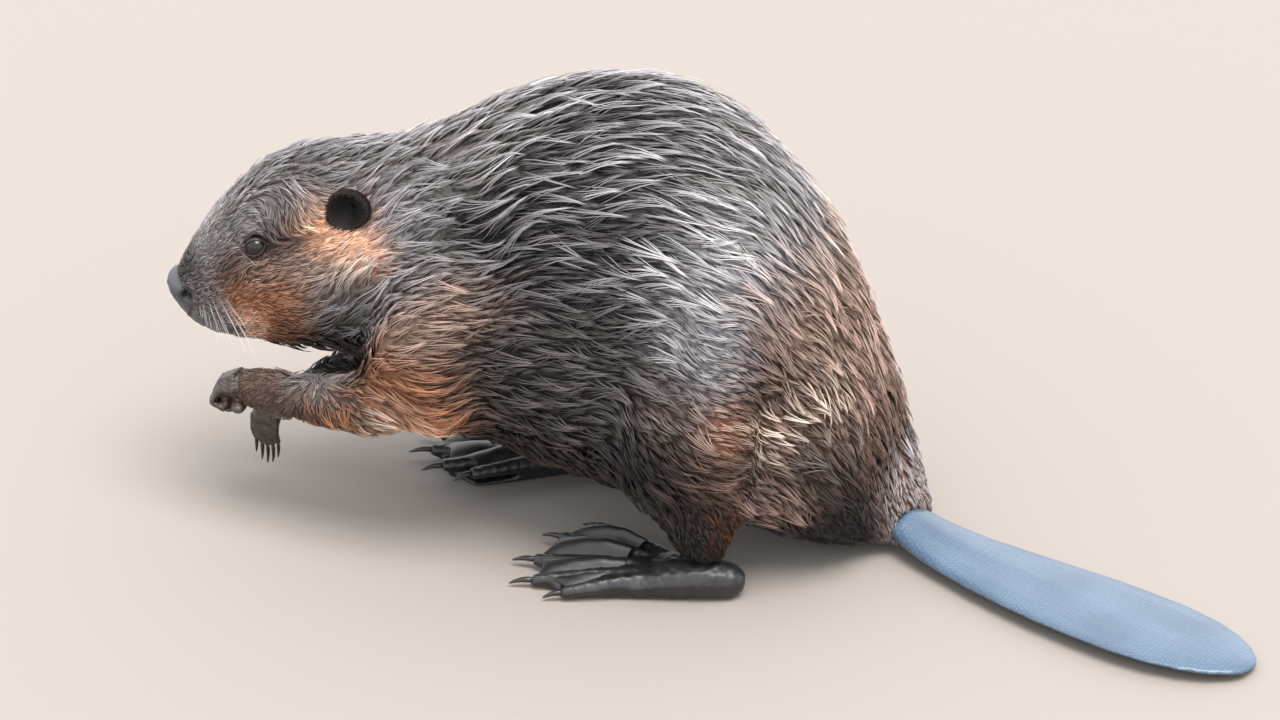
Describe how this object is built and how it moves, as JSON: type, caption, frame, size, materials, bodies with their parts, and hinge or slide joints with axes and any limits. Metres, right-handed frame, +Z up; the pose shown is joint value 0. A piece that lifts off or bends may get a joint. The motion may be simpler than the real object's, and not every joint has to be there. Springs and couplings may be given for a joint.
{
  "type": "beaver",
  "caption": "Adult beaver in a wet coat, hunched on its hind feet and rump to feed, with one forepaw raised, one hanging, and a flat scaly tail swept to its left.",
  "frame": {"origin": "on the floor, under the middle of the animal's bounding box", "axes": "+Z up, -Y the way the animal faces, +X to the animal's left"},
  "size_m": [0.3254, 0.8126, 0.358],
  "materials": {
    "coat": "wet guard hair in clumps",
    "bare_skin": "wet grained skin",
    "tail_scales": "wet scaled skin",
    "eye": "moist",
    "claw": "worn horn"
  },
  "bodies": {
    "root": {"head": "coat", "lower_jaw": "coat", "nose": "bare_skin", "neck": "coat", "trunk": "coat", "tail_base": "coat", "tail": "tail_scales", "hand_claw_left_1": "claw", "foot_claw_left_1": "claw", "hand_claw_left_2": "claw", "foot_claw_left_2": "claw", "hand_claw_left_3": "claw", "foot_claw_left_3": "claw", "hand_claw_left_4": "claw", "foot_claw_left_4": "claw", "hand_claw_left_5": "claw", "foot_claw_left_5": "claw", "eye_left": "eye", "ear_left": "bare_skin", "upper_arm_left": "coat", "forearm_left": "coat", "hand_left": "bare_skin", "thigh_left": "coat", "shin_left": "coat", "foot_left": "bare_skin", "hand_claw_right_1": "claw", "foot_claw_right_1": "claw", "hand_claw_right_2": "claw", "foot_claw_right_2": "claw", "hand_claw_right_3": "claw", "foot_claw_right_3": "claw", "hand_claw_right_4": "claw", "foot_claw_right_4": "claw", "hand_claw_right_5": "claw", "foot_claw_right_5": "claw", "eye_right": "eye", "ear_right": "bare_skin", "upper_arm_right": "coat", "forearm_right": "coat", "hand_right": "bare_skin", "thigh_right": "coat", "shin_right": "coat", "foot_right": "bare_skin"}
  },
  "joints": []
}
